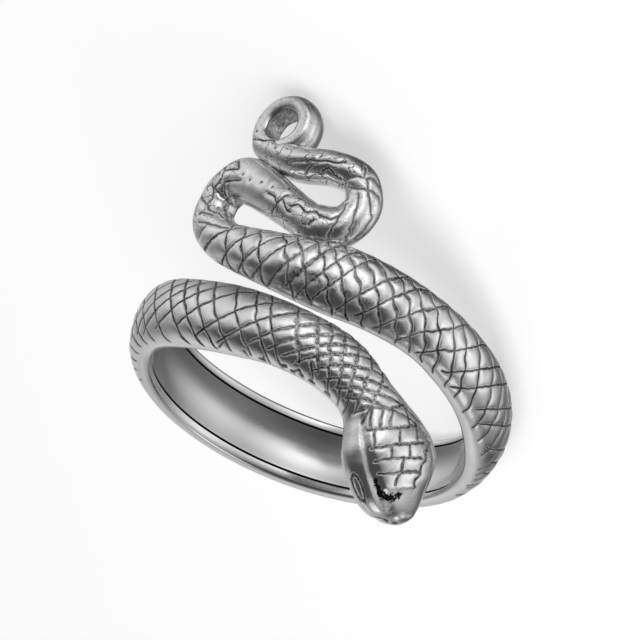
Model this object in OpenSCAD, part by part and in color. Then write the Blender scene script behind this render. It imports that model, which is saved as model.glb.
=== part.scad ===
// Snake wrap ring: one silver casting, lying on its side as it rests by itself.
// The snake is drawn on the unrolled surface of the finger, swept with a flat-backed
// section, wrapped round the finger and then laid on the floor at z = 0.

/* [Finger] */
// Inside diameter of the band
finger_d = 18; // [16:0.5:21]

/* [Body] */
// Width of the body round the back of the finger
body_w = 4.2; // [3.6:0.1:4.8]
// Thickness of the body at the front of the finger
body_t = 1.9; // [1.6:0.1:2.4]
// Rise of the tail's branch from the back of the finger to the foot of the curl
tail_rise = 3.2; // [2.8:0.1:4]

/* [Head] */
// Width across the cheeks
head_w = 5.7; // [5:0.1:6.6]
// Height of the crown above the finger
head_t = 2.3; // [2:0.1:2.8]
// Drop of the nose below the middle of the band
head_drop = 8.7; // [7.6:0.1:10]
// Height of the crown's raised plates above the cheeks
crown_h = 0.2; // [0.1:0.05:0.3]
// Height of each eye, across its almond
eye_d = 1; // [0.8:0.1:1.3]
// How far the eyes stand out from the cheeks
eye_h = 0.12; // [0.06:0.01:0.2]

/* [Curl] */
// Width of the curl between the middle lines of its two bends
curl_w = 9.6; // [8.8:0.1:10.6]
// Height of the curl from its foot to the middle line of the loop's top
curl_h = 8.9; // [8.4:0.1:9.8]
// Width of the tail in the curl's first bend
tail_w = 2.4; // [2:0.1:2.7]
// Thickness of the tail in the curl
tail_t = 1.8; // [1.5:0.1:2.2]

/* [End loop] */
// Diameter of the hole in the tail's end loop
loop_hole_d = 2; // [1.6:0.05:2.3]
// Width of the tail's tip round the hole
loop_w = 1.05; // [0.8:0.05:1.3]
// Thickness of the tail's tip, out from the finger
loop_t = 1.6; // [1.3:0.1:2]

/* [Scales] */
// Length of one scale along the body
scale_l = 1.2; // [1:0.05:1.5]
// Height of a scale's middle above the grooves round it
scale_h = 0.12; // [0.06:0.01:0.18]

/* [Inner panel] */
// Width of each rounded rim beside the polished panel inside the band
rim_w = 0.6; // [0.55:0.05:0.8]
// Width of the groove between the panel and each rim
groove_w = 0.14; // [0.1:0.01:0.2]
// Depth of that groove
groove_h = 0.1; // [0.05:0.01:0.15]

/* [Hidden] */

finger_r = finger_d / 2;
// Radius at which the route keeps its lengths when it is wrapped
route_r = finger_r + body_t / 2;
// Depth by which the back band reaches into the finger hole before that is bored
bore_cut = 0.3;
// Space between the front branches and the finger
branch_gap = 0.08;
// Height at which the soft rims of the base start, above the finger
rim_h = 0.1;
// Width by which the tail's tip reaches into the loop's hole before that is bored
loop_cut = 0.12;

// Columns of the tables and of a station, which has its place to the right of the
// front where a row has its turn round the finger
TURN = 0;
RIGHT = 0;
ALONG = 1;
WIDE = 2;
THICK = 3;
CROWN = 4;

// Head, from the nose to the neck: degrees round the finger from the front, drop as a
// share of head_drop, width of head_w, thickness of head_t, and height of the crown
HEAD = [
  //turn, along, wide, thick, crown
  [-44.9, -1.01, 0.20, 0.50, 0.0],
  [-43.8, -0.98, 0.42, 0.62, 0.0],
  [-41.5, -0.92, 0.65, 0.76, 0.2],
  [-35.5, -0.80, 0.93, 0.92, 0.9],
  [-28.0, -0.62, 1.00, 1.00, 1.0],
];

// Body, from the neck round the back to the foot of the curl: degrees, rise as a share
// of tail_rise or drop of head_drop, width of body_w, thickness of body_t
BODY = [
  //turn, along, wide, thick, crown
  [-17, -0.41, 0.82, 1.00, 0.5],
  [-3.5, -0.27, 0.84, 0.98, 0.0],
  [14, -0.20, 0.86, 1.00, 0.0],
  [32, -0.16, 0.93, 1.00, 0.0],
  [52, -0.11, 0.95, 0.98, 0.0],
  [78, -0.03, 0.97, 0.94, 0.0],
  [105, 0.00, 0.98, 0.80, 0.0],
  [140, 0.00, 1.00, 0.71, 0.0],
  [180, 0.00, 1.00, 0.72, 0.0],
  [220, 0.00, 0.97, 0.69, 0.0],
  [255, 0.02, 0.95, 0.76, 0.0],
  [280, 0.13, 1.00, 1.00, 0.0],
  [297, 0.32, 0.98, 1.00, 0.0],
  [315, 0.47, 0.92, 1.00, 0.0],
  [333, 0.61, 0.89, 1.00, 0.0],
  [351, 0.68, 0.94, 1.00, 0.0],
  [369, 0.72, 0.98, 1.00, 0.0],
  [387, 0.79, 0.78, 0.98, 0.0],
  [407, 1.02, 0.58, 0.95, 0.0],
];

// Middle of the curl, in degrees round the finger
curl_turn = 393;
// Bends of the curl, as arcs on the unrolled finger: place of the centre to the right
// of the curl's middle as a share of curl_w, its height above the curl's foot and the
// radius as shares of curl_h, first and last angle, and widths as shares of tail_w
BENDS = [
  //across, along, radius, from, to, wide from, wide to
  [-0.350, 0.285, 0.190, 242, 62, 0.97, 1.08],
  [0.280, 0.405, 0.203, -100, 98, 1.00, 0.77],
];
// Points on each bend
bend_steps = 5;
// Straight passes between the bends, as rows of one point: right of the middle, height
// above the foot, and width as a share of tail_w
PASSES = [
  //across, along, wide
  [0.125, 0.255, 0.90],
  [0.000, 0.598, 0.76],
];
// End loop: its centre, and the angles between which the tail's tip runs round it
loop_across = -0.162;
loop_along = 0.824;
loop_from = 238;
loop_to = -82;
loop_steps = 10;

loop_r = (loop_hole_d + loop_w - loop_cut) / 2;
curl_x = -curl_turn * PI / 180 * route_r;

// Place on the unrolled finger, [right, up], of a place in the curl
function in_curl(right, along) = [curl_x + right * curl_w, tail_rise + along * curl_h];
function on_arc(centre, r, a) = centre + r * [cos(a), sin(a)];
function mix(a, b, t) = a + (b - a) * t;

// Rows of the whole route: right, along, width, thickness and crown, in millimetres
function head_rows() = [
  for (h = HEAD)
    [-h[TURN] * PI / 180 * route_r, h[ALONG] * head_drop, h[WIDE] * head_w,
      h[THICK] * head_t, h[CROWN] * crown_h]
];
function body_rows() = [
  for (b = BODY)
    [-b[TURN] * PI / 180 * route_r, b[ALONG] * (b[ALONG] < 0 ? head_drop : tail_rise),
      b[WIDE] * body_w, b[THICK] * body_t, b[CROWN] * crown_h]
];
function bend_rows(b) = [
  for (k = [0 : bend_steps - 1])
    let (
      t = k / (bend_steps - 1),
      p = on_arc(in_curl(b[0], b[1]), b[2] * curl_h, mix(b[3], b[4], t))
    )
    [p.x, p.y, mix(b[5], b[6], t) * tail_w, tail_t, 0]
];
function pass_row(p) =
  let (q = in_curl(p[0], p[1]))
  [q.x, q.y, p[2] * tail_w, tail_t, 0];
function loop_rows() = [
  for (k = [0 : loop_steps])
    let (
      t = k / loop_steps,
      p = on_arc(in_curl(loop_across, loop_along), loop_r, mix(loop_from, loop_to, t))
    )
    [p.x, p.y, mix(1.3, 1, min(1, 4 * t)) * (loop_w + loop_cut), loop_t, 0]
];
rows = concat(
  head_rows(),
  body_rows(),
  bend_rows(BENDS[0]),
  [pass_row(PASSES[0])],
  bend_rows(BENDS[1]),
  [pass_row(PASSES[1])],
  loop_rows()
);
last_row = len(rows) - 1;
first_pass_row = len(HEAD) + len(BODY) + bend_steps;
loop_top_row = last_row - loop_steps / 2;

// Catmull-Rom curve through the rows
function row(i) = rows[max(0, min(last_row, i))];
function curve(i, t) =
  let (a = row(i - 1), b = row(i), c = row(i + 1), d = row(i + 2))
  (2 * b + (c - a) * t + (2 * a - 5 * b + 4 * c - d) * t * t
    + (3 * b - a - 3 * c + d) * t * t * t) / 2;
fine = 8;
curve_points = [
  for (i = [0 : last_row - 1], k = [0 : fine - 1]) curve(i, k / fine),
  rows[last_row]
];
function flat(p) = [p[RIGHT], p[ALONG]];
curve_lengths = [
  for (
    i = 0, s = 0;
    i < len(curve_points);
    s = s + (i + 1 < len(curve_points) ? norm(flat(curve_points[i + 1]) - flat(curve_points[i])) : 0),
    i = i + 1
  ) s
];
length = curve_lengths[len(curve_lengths) - 1];

// Rings, half a scale apart
ring_count = round(length / scale_l * 2);
ring_step = length / ring_count;
columns = [
  for (c = [0 : 4]) [for (i = [0 : len(curve_points) - 1]) [curve_lengths[i], curve_points[i][c]]]
];
stations = [
  for (i = [0 : ring_count]) [for (c = columns) lookup(i * ring_step, c)]
];
function station(i) = stations[max(0, min(ring_count, i))];
function heading(i) =
  let (d = flat(station(i + 1)) - flat(station(i - 1)))
  d / norm(d);
function ring_at_row(k) = round(curve_lengths[k * fine] / ring_step);

// How far scales stand out: none on the snout, round the back of the finger and on the loop
function turn_at(i) = -station(i)[RIGHT] / route_r * 180 / PI;
SCALE_FADE = [[-40, 0], [-34, 1], [95, 1], [130, 0], [235, 0], [265, 1], [420, 1]];
function scale_fade(i) =
  i > ring_at_row(last_row - loop_steps) ? 0 : lookup(turn_at(i), SCALE_FADE);

// The back band is bored out with the finger hole. The front branches stand just clear.
band_from = 25;
band_to = 325;
function base_h(i) = turn_at(i) > band_from && turn_at(i) < band_to ? -bore_cut : branch_gap;

// Section: a dome in an even number of steps, then the soft rims and the flat base
dome_steps = 12;
rim_share = 0.38;
sides = dome_steps + 8;
// The scales stop short of the rims
function side_fade(j) = min(1, max(0, min(j, dome_steps - j) - 1) / 2);
// The crown is a plateau over the middle half of the head
function crown_share(a) = max(0, min(1, (0.72 - abs(cos(a))) * 6));
function dome_point(i, j) =
  let (
    s = station(i),
    a = 180 * j / dome_steps,
    low = rim_share * s[THICK],
    raised = scale_h * scale_fade(i) * side_fade(j) * ((i + j) % 2 - 0.5),
    w = s[WIDE] / 2,
    h = s[THICK] - low
  )
  [(w + raised) * cos(a), low + (h + raised + s[CROWN] * crown_share(a)) * sin(a)];
function base_points(i) =
  let (w = station(i)[WIDE], t = station(i)[THICK])
  [
    [-0.49 * w, 0.18 * t],
    [-0.45 * w, rim_h],
    [-0.42 * w, base_h(i)],
    [0, base_h(i)],
    [0.42 * w, base_h(i)],
    [0.45 * w, rim_h],
    [0.49 * w, 0.18 * t]
  ];
function section(i) = concat([for (j = [0 : dome_steps]) dome_point(i, j)], base_points(i));

// Wraps a place on the unrolled finger, h above it, round the finger
function wrapped(x, z, h) =
  let (a = x / route_r * 180 / PI, r = finger_r + h)
  [r * sin(a), -r * cos(a), z];
function in_section(i, p) =
  let (s = station(i), d = heading(i))
  wrapped(s[RIGHT] + d.y * p.x, s[ALONG] - d.x * p.x, p.y);
function ring(i) = [for (p = section(i)) in_section(i, p)];
rings = [for (i = [0 : ring_count]) ring(i)];
function middle(i) =
  let (s = station(i))
  wrapped(s[RIGHT], s[ALONG], 0.4 * s[THICK]);

// Two triangles between neighbouring rings, parted along the groove
function cell(i, j, k0) =
  let (
    a = k0 + j,
    b = k0 + (j + 1) % sides,
    c = a + sides,
    d = b + sides
  )
  (i + j) % 2 == 0 ? [[a, b, d], [a, d, c]] : [[a, b, c], [b, d, c]];

// One stretch of the snake between two rings, closed at both ends
module stretch(first, last) {
  n = last - first;
  points = concat(
    [for (i = [first : last], p = rings[i]) p],
    [middle(first), middle(last)]
  );
  start = (n + 1) * sides;
  top = n * sides;
  walls = [for (i = [0 : n - 1], j = [0 : sides - 1], f = cell(first + i, j, i * sides)) f];
  caps = [
    for (j = [0 : sides - 1]) each [
      [start, (j + 1) % sides, j],
      [start + 1, top + j, top + (j + 1) % sides]
    ]
  ];
  polyhedron(points, concat(walls, caps));
}

// Eyes: low almonds on the two cheeks, each three beads in one skin
eye_turn = -36;
eye_side = 25;
eye_ring = len([for (i = [0 : ring_count]) if (turn_at(i) < eye_turn) i]);
function eye_place(i, side, sink) =
  let (s = station(i), low = rim_share * s[THICK])
  in_section(i, [
    side * (s[WIDE] / 2 - sink) * cos(eye_side),
    low + (s[THICK] - low - sink) * sin(eye_side)
  ]);
module eyes() {
  for (side = [-1, 1])
    hull()
      for (k = [-1 : 1]) {
        d = k == 0 ? eye_d : 0.4 * eye_d;
        lift = k == 0 ? eye_h : eye_h / 2;
        translate(eye_place(eye_ring + k, side, d / 2 - lift)) sphere(d = d, $fn = 20);
      }
}

module finger_hole() {
  cylinder(r = finger_r, h = 4 * (head_drop + curl_h), center = true, $fn = 180);
}

// Bore of the end loop, square to the finger
loop_centre = in_curl(loop_across, loop_along);
module loop_hole() {
  translate(wrapped(loop_centre.x, loop_centre.y, loop_t / 2))
    rotate([90, 0, loop_centre.x / route_r * 180 / PI])
      cylinder(d = loop_hole_d, h = 3 * loop_t, center = true, $fn = 64);
}

// Two fine grooves that part the polished panel inside the band from its rims
groove_from = 98;
groove_to = 250;
module panel_grooves() {
  for (side = [-1, 1])
    rotate([0, 0, -90 - groove_to])
      rotate_extrude(angle = groove_to - groove_from, $fn = 180)
        translate([finger_r, side * (body_w / 2 - rim_w)])
          square([2 * groove_h, groove_w], center = true);
}

module snake() {
  pass_ring = ring_at_row(first_pass_row);
  loop_ring = ring_at_row(loop_top_row);
  stretch(0, pass_ring);
  stretch(pass_ring, loop_ring);
  stretch(loop_ring, ring_count);
}

// Rest on the floor. The ring lies on three points: the first is the lowest when the
// ring is laid tail down, and it tips from there to the second and the third.
skin = [for (r = rings, p = r) p];
function sum(v, i = 0) = i == len(v) - 1 ? v[i] : v[i] + sum(v, i + 1);
function area_at(i) = station(i)[WIDE] * station(i)[THICK];
weight_middle =
  sum([for (i = [0 : ring_count]) middle(i) * area_at(i)])
  / sum([for (i = [0 : ring_count]) area_at(i)]);
function unit(v) = v / norm(v);
function across(v, n) = unit(v - (v * n) * n);
function first_least(v) = search(min(v), v)[0];
laid_up = unit([-0.45, -0.2, -0.87]);
foot_a = skin[first_least([for (p = skin) p * laid_up])];
// Angle by which the ring tips about a before p meets the floor. Points beside a are
// part of the same foot.
foot_size = 0.5;
function tip_angle(p, a, up, way) =
  let (run = (p - a) * way)
  run > foot_size ? atan2((p - a) * up, run) : 180;
way_b = across(weight_middle - foot_a, laid_up);
angles_b = [for (p = skin) tip_angle(p, foot_a, laid_up, way_b)];
foot_b = skin[first_least(angles_b)];
up_b = cos(min(angles_b)) * laid_up - sin(min(angles_b)) * way_b;
edge = unit(foot_b - foot_a);
side_way = cross(up_b, edge);
way_c = side_way * (weight_middle - foot_a) > 0 ? side_way : -side_way;
angles_c = [for (p = skin) tip_angle(p, foot_a, up_b, way_c)];
up = unit(cos(min(angles_c)) * up_b - sin(min(angles_c)) * way_c);

// Seen from the front, the finger runs towards the left and down
view_tilt = 23;
floor_y = across([0, cos(view_tilt), sin(view_tilt)], up);
floor_x = cross(floor_y, up);
function laid(p) = [p * floor_x, p * floor_y, p * up];
laid_skin = [for (p = skin) laid(p)];
function middle_of(v) = (min(v) + max(v)) / 2;
origin = [
  middle_of([for (p = laid_skin) p.x]),
  middle_of([for (p = laid_skin) p.y]),
  min([for (p = laid_skin) p.z])
];

module at_rest() {
  translate(-origin)
    multmatrix([
      [floor_x.x, floor_x.y, floor_x.z, 0],
      [floor_y.x, floor_y.y, floor_y.z, 0],
      [up.x, up.y, up.z, 0],
      [0, 0, 0, 1]
    ])
      children();
}

module snake_ring() {
  color("silver")
    at_rest()
      difference() {
        union() {
          snake();
          eyes();
        }
        finger_hole();
        loop_hole();
        panel_grooves();
      }
}

snake_ring();
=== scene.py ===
import bpy
import numpy as np
from mathutils import Matrix, Vector


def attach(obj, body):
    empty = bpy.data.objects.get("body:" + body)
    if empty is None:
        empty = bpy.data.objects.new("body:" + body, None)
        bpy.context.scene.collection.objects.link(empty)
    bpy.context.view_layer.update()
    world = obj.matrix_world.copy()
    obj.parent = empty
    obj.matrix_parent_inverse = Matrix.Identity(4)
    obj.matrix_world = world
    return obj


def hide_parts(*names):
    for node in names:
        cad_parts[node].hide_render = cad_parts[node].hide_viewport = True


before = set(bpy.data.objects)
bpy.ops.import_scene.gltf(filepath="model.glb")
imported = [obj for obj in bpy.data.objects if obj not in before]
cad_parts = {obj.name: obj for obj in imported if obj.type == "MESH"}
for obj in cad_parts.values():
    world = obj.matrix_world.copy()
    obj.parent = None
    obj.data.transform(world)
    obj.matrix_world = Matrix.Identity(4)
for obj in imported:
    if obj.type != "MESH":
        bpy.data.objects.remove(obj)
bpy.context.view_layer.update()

# The camera: a long lens at the photograph's angle to the ring. The ring is drawn in
# millimetres with the finger along z and its front at -y, and then laid on its side, on
# the top of the tail's end loop and two points of the tail's edge.
MM = 0.001
REST = np.array([
    (-0.837236, -0.213668, 0.50337),
    (-0.283999, 0.956527, -0.0663425),
    (-0.467312, -0.198501, -0.86152),
])
REST_ORIGIN = np.array([2.2474, -0.366252, -6.63968])
VIEW_TILT = np.radians(23)
VIEW_ROLL = np.radians(21)
PIXELS = 640
PIXELS_PER_MM = 18.29
RING_PIXEL = (316.9, 388.2)
CAMERA_DISTANCE = 0.6
SENSOR_MM = 36
SEEN_TO = 10


def laid(points):
    """Places on the drawn ring, in millimetres, to places on the floor, in metres."""
    return (points @ REST.T - REST_ORIGIN) * MM


away = np.array([0, np.cos(VIEW_TILT), np.sin(VIEW_TILT)])
tilted = np.array([0, -np.sin(VIEW_TILT), np.cos(VIEW_TILT)])
image_right = np.array([np.cos(VIEW_ROLL), 0, 0]) + np.sin(VIEW_ROLL) * tilted
image_up = np.array([-np.sin(VIEW_ROLL), 0, 0]) + np.cos(VIEW_ROLL) * tilted
looked_at = (
    (PIXELS / 2 - RING_PIXEL[0]) / PIXELS_PER_MM * image_right
    - (PIXELS / 2 - RING_PIXEL[1]) / PIXELS_PER_MM * image_up
)
camera_data = bpy.data.cameras.new("camera")
camera = bpy.data.objects.new("camera", camera_data)
bpy.context.scene.collection.objects.link(camera)
axes = [REST @ image_right, REST @ image_up, -(REST @ away)]
camera_place = laid(looked_at) - CAMERA_DISTANCE * (REST @ away)
camera.matrix_world = Matrix(
    [[*(float(a[i]) for a in axes), float(camera_place[i])] for i in range(3)]
    + [[0, 0, 0, 1]]
)
camera_data.sensor_width = SENSOR_MM
camera_data.lens = SENSOR_MM * CAMERA_DISTANCE / (PIXELS / PIXELS_PER_MM * MM)
camera_data.clip_end = SEEN_TO
bpy.context.scene.camera = camera

# The floor: a pale, dull table top. It glows a little, so that it stays pale under the
# soft light, and the silver mirrors the tent round it instead.
FLOOR_SIZE = 3
FLOOR_GREY = (0.8, 0.8, 0.8, 1)
FLOOR_GLOW = 0.42
bpy.ops.mesh.primitive_plane_add(size=FLOOR_SIZE, location=(0, 0, 0))
floor = bpy.context.object
floor.name = "floor"
floor_paint = bpy.data.materials.new("pale_floor")
floor_paint.use_nodes = True
floor_shader = floor_paint.node_tree.nodes["Principled BSDF"]
floor_shader.inputs["Base Color"].default_value = FLOOR_GREY
floor_shader.inputs["Roughness"].default_value = 0.9
floor_shader.inputs["Specular IOR Level"].default_value = 0.1
floor_shader.inputs["Emission Color"].default_value = (1, 1, 1, 1)
floor_shader.inputs["Emission Strength"].default_value = FLOOR_GLOW
floor.data.materials.append(floor_paint)
floor.visible_glossy = False
floor.visible_shadow = False


# The light: a grey tent with soft bright panels, which is what the silver mirrors, and
# one large lamp above for the table.
class Wire:
    """A socket of a node tree. Sums and products of wires add Math nodes."""

    def __init__(self, tree, socket=None):
        self.tree, self.socket = tree, socket

    def node(self, kind, settings, sockets, output=0):
        made = self.tree.nodes.new(kind)
        for name, value in settings.items():
            setattr(made, name, value)
        for name, value in sockets.items():
            if isinstance(value, Wire):
                self.tree.links.new(value.socket, made.inputs[name])
            else:
                made.inputs[name].default_value = value
        return Wire(self.tree, made.outputs[output])

    def math(self, operation, *values):
        return self.node("ShaderNodeMath", {"operation": operation}, dict(enumerate(values)))

    def __add__(self, other):
        return self.math("ADD", self, other)

    def __sub__(self, other):
        return self.math("SUBTRACT", self, other)

    def __rsub__(self, other):
        return self.math("SUBTRACT", other, self)

    def __mul__(self, other):
        return self.math("MULTIPLY", self, other)

    __radd__ = __add__
    __rmul__ = __mul__

    def between(self, low, high):
        return self.node(
            "ShaderNodeMapRange",
            {"interpolation_type": "SMOOTHSTEP"},
            {"Value": self, "From Min": low, "From Max": high},
        )

    def mixed(self, colour_low, colour_high):
        return self.node(
            "ShaderNodeMix", {"data_type": "RGBA"}, {0: self, 6: colour_low, 7: colour_high}, 2
        )


# Panels: azimuth and elevation of the middle, the angles from it at which the panel is
# full and has faded out, in degrees, and brightness
PANELS = [
    (-41, -34, -22, 73, 1.28),
    (35, -10, -29, 54, 2.29),
    (-85, 34, 11, 18, 0.67),
    (112, -6, -32, 60, 1.20),
    (-152, 29, -23, 65, 0.71),
    (-89, 25, -15, 41, 0.54),
    (178, -24, -9, 58, 0.77),
    (77, 18, -10, 41, 0.64),
    (172, 50, 4, 45, 0.3),
]
TENT_GREY = 0.06


def way_to(azimuth, elevation):
    a, e = np.radians(azimuth), np.radians(elevation)
    return Vector((np.sin(a) * np.cos(e), -np.cos(a) * np.cos(e), np.sin(e)))


world = bpy.data.worlds.new("light_tent")
bpy.context.scene.world = world
world.use_nodes = True
tent = Wire(world.node_tree)
seen_way = tent.node("ShaderNodeTexCoord", {}, {}, "Generated")
glow = TENT_GREY
for azimuth, elevation, full, faded, brightness in PANELS:
    facing = tent.node(
        "ShaderNodeVectorMath",
        {"operation": "DOT_PRODUCT"},
        {0: seen_way, 1: way_to(azimuth, elevation)},
        "Value",
    )
    angle = facing.math("ARCCOSINE", facing)
    glow = angle.between(np.radians(faded), np.radians(full)) * brightness + glow
background = world.node_tree.nodes["Background"]
world.node_tree.links.new(glow.socket, background.inputs["Color"])
bpy.context.scene.view_settings.view_transform = "Standard"

LAMP_WAY = (-40, 60)
LAMP_DISTANCE = 0.3
LAMP_SIZE = 0.3
LAMP_BRIGHTNESS = 2.2
lamp_data = bpy.data.lights.new("table_lamp", "AREA")
lamp_data.shape = "SQUARE"
lamp_data.size = LAMP_SIZE
lamp_data.energy = np.pi * LAMP_SIZE**2 * LAMP_BRIGHTNESS
lamp = bpy.data.objects.new("table_lamp", lamp_data)
bpy.context.scene.collection.objects.link(lamp)
lamp.location = way_to(*LAMP_WAY) * LAMP_DISTANCE
lamp.rotation_euler = way_to(*LAMP_WAY).to_track_quat("Z", "Y").to_euler()
lamp.visible_glossy = False

# The snake: one silver casting, modelled as the caster's wax was, as a rod with a flat
# back drawn along a route on the unrolled finger and wrapped round it.
FINGER_R = 9.0
BODY_W = 4.2
BODY_T = 1.9
TAIL_RISE = 3.2
HEAD_W = 5.7
HEAD_T = 2.3
HEAD_DROP = 8.7
CROWN_H = 0.2
CURL_W = 9.6
CURL_H = 8.9
TAIL_W = 2.4
TAIL_T = 1.8
LOOP_HOLE_D = 2.0
LOOP_W = 1.05
LOOP_T = 1.6
LOOP_CUT = 0.12
BRANCH_GAP = 0.08
ROUTE_R = FINGER_R + BODY_T / 2
CURL_TURN = 393
CURL_X = -np.radians(CURL_TURN) * ROUTE_R

# Turn round the finger in degrees, place along the finger as a share of the head's drop
# or of the tail's rise, and width, thickness and crown as shares
HEAD = [
    (-44.9, -1.01, 0.20, 0.50, 0.0),
    (-43.8, -0.98, 0.42, 0.62, 0.0),
    (-41.5, -0.92, 0.65, 0.76, 0.2),
    (-35.5, -0.80, 0.93, 0.92, 0.9),
    (-28.0, -0.62, 1.00, 1.00, 1.0),
]
BODY = [
    (-17, -0.41, 0.82, 1.00, 0.5),
    (-3.5, -0.27, 0.84, 0.98, 0.0),
    (14, -0.20, 0.86, 1.00, 0.0),
    (32, -0.16, 0.93, 1.00, 0.0),
    (52, -0.11, 0.95, 0.98, 0.0),
    (78, -0.03, 0.97, 0.94, 0.0),
    (105, 0.00, 0.98, 0.80, 0.0),
    (140, 0.00, 1.00, 0.71, 0.0),
    (180, 0.00, 1.00, 0.72, 0.0),
    (220, 0.00, 0.97, 0.69, 0.0),
    (255, 0.02, 0.95, 0.76, 0.0),
    (280, 0.13, 1.00, 1.00, 0.0),
    (297, 0.32, 0.98, 1.00, 0.0),
    (315, 0.47, 0.92, 1.00, 0.0),
    (333, 0.61, 0.89, 1.00, 0.0),
    (351, 0.68, 0.94, 1.00, 0.0),
    (369, 0.72, 0.98, 1.00, 0.0),
    (387, 0.79, 0.78, 0.98, 0.0),
    (407, 1.02, 0.58, 0.95, 0.0),
]
# Bends of the curl, as shares of its size: centre, radius, first and last angle, first
# and last width. Between them, the straight passes: middle and width.
BENDS = [
    (-0.350, 0.285, 0.190, 242, 62, 0.97, 1.08),
    (0.280, 0.405, 0.203, -100, 98, 1.00, 0.77),
]
PASSES = [(0.125, 0.255, 0.90), (0.000, 0.598, 0.76)]
BEND_STEPS = 5
LOOP_CENTRE = (-0.162, 0.824)
LOOP_ANGLES = (238, -82)
LOOP_STEPS = 10
LOOP_R = (LOOP_HOLE_D + LOOP_W - LOOP_CUT) / 2
LOOP_ROOT = 1.3


def in_curl(right, up):
    return np.array([CURL_X + right * CURL_W, TAIL_RISE + up * CURL_H])


def on_arc(centre, radius, degrees):
    a = np.radians(degrees)
    return centre + radius * np.array([np.cos(a), np.sin(a)])


rows = []
for degrees, up, width, thickness, crowned in HEAD:
    middle = [-np.radians(degrees) * ROUTE_R, up * HEAD_DROP]
    rows.append([*middle, width * HEAD_W, thickness * HEAD_T, crowned * CROWN_H])
for degrees, up, width, thickness, crowned in BODY:
    rise = HEAD_DROP if up < 0 else TAIL_RISE
    middle = [-np.radians(degrees) * ROUTE_R, up * rise]
    rows.append([*middle, width * BODY_W, thickness * BODY_T, crowned * CROWN_H])
for bend, straight in zip(BENDS, PASSES):
    right, up, radius, first, last, width_first, width_last = bend
    for t in np.linspace(0, 1, BEND_STEPS):
        middle = on_arc(in_curl(right, up), radius * CURL_H, first + t * (last - first))
        width = (width_first + t * (width_last - width_first)) * TAIL_W
        rows.append([*middle, width, TAIL_T, 0])
    rows.append([*in_curl(*straight[:2]), straight[2] * TAIL_W, TAIL_T, 0])
for t in np.linspace(0, 1, LOOP_STEPS + 1):
    degrees = LOOP_ANGLES[0] + t * (LOOP_ANGLES[1] - LOOP_ANGLES[0])
    middle = on_arc(in_curl(*LOOP_CENTRE), LOOP_R, degrees)
    width = (LOOP_ROOT - 0.3 * min(1, 4 * t)) * (LOOP_W + LOOP_CUT)
    rows.append([*middle, width, LOOP_T, 0])
rows = np.array(rows)

# Catmull-Rom curve through the rows, and its length from the nose
FINE = 32
padded = np.vstack([rows[:1], rows, rows[-1:]])
curve = []
for a, b, c, d in zip(padded, padded[1:], padded[2:], padded[3:]):
    for t in np.arange(FINE) / FINE:
        squared = (2 * a - 5 * b + 4 * c - d) * t**2
        curve.append((2 * b + (c - a) * t + squared + (3 * b - a - 3 * c + d) * t**3) / 2)
curve = np.array(curve + [rows[-1]])
curve_steps = np.linalg.norm(np.diff(curve[:, :2], axis=0), axis=1)
reached = np.concatenate([[0], np.cumsum(curve_steps)])
length = reached[-1]
HEADING_REACH = 0.15


def station(s):
    """The route's place, width, thickness and crown at a length from the nose."""
    return np.array([np.interp(s, reached, curve[:, c]) for c in range(5)])


def heading(s):
    ahead, behind = np.minimum(s + HEADING_REACH, length), np.maximum(s - HEADING_REACH, 0)
    way = (station(ahead) - station(behind))[:2]
    return way / np.linalg.norm(way, axis=0)


def wrapped(x, z, h):
    """Places on the unrolled finger, h above it, to places round it."""
    a, r = x / ROUTE_R, FINGER_R + h
    return np.stack([r * np.sin(a), -r * np.cos(a), z], axis=-1)


# Rings of the mesh, by the route: from, to, step. They're close together where the
# scales are, and further apart round the plain back.
SPACING = [
    (0.0, 13.0, 0.065),
    (13.0, 34.0, 0.1),
    (34.0, 56.0, 0.3),
    (56.0, 84.0, 0.1),
    (84.0, 104.0, 0.08),
    (104.0, 113.5, 0.09),
]
ring_s = np.concatenate([np.arange(a, b - 0.3 * step, step) for a, b, step in SPACING])
ring_s = np.append(ring_s[ring_s < length - 0.05], length)
DOME_STEPS = 120
USUAL_SHAPE = 1.8


def eased(t):
    return t * t * (3 - 2 * t)


def even_angles(count):
    """Angles of points evenly spaced over a half ellipse of the section's usual shape."""
    dense = np.linspace(0, np.pi, 2000)
    steps = np.hypot(USUAL_SHAPE * np.sin(dense), np.cos(dense))
    share = np.concatenate([[0], np.cumsum((steps[1:] + steps[:-1]) / 2)])
    return np.interp(np.linspace(0, share[-1], count + 1), share, dense)


# The dome, fuller on its right side at the head and in the end loop, and the head's
# crown. Places on it are millimetres along the body from the nose, and across it from
# the middle line.
WIDEST = 0.38
CROWN_REACH = 0.72
CROWN_EDGE = 6
FULLER_S = [0.6, 1.4, 3.6, 4.8, 102, 105]
angles = even_angles(DOME_STEPS)
at = station(ring_s)
wide, thick, crown = at[2], at[3], at[4]
low = WIDEST * thick
turns = -at[0] / ROUTE_R * 180 / np.pi
fuller = np.interp(ring_s, FULLER_S, [0, 0.35, 0.35, 0, 0, 0.6])[:, None]
fuller = fuller * (np.cos(angles) > 0)
crown_share = eased(np.clip((CROWN_REACH - np.abs(np.cos(angles))) * CROWN_EDGE, 0, 1))
dome_x = wide[:, None] / 2 * np.cos(angles)
dome_h = low[:, None] + (thick - low)[:, None] * np.sin(angles) ** (1 - fuller)
arc_steps = np.hypot(np.diff(dome_x, axis=1), np.diff(dome_h, axis=1))
arc = np.concatenate([np.zeros((len(ring_s), 1)), np.cumsum(arc_steps, axis=1)], axis=1)
across = arc[:, DOME_STEPS // 2 : DOME_STEPS // 2 + 1] - arc
along = np.repeat(ring_s[:, None], DOME_STEPS + 1, axis=1)
dome_h += crown[:, None] * crown_share * np.sin(angles)

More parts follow.
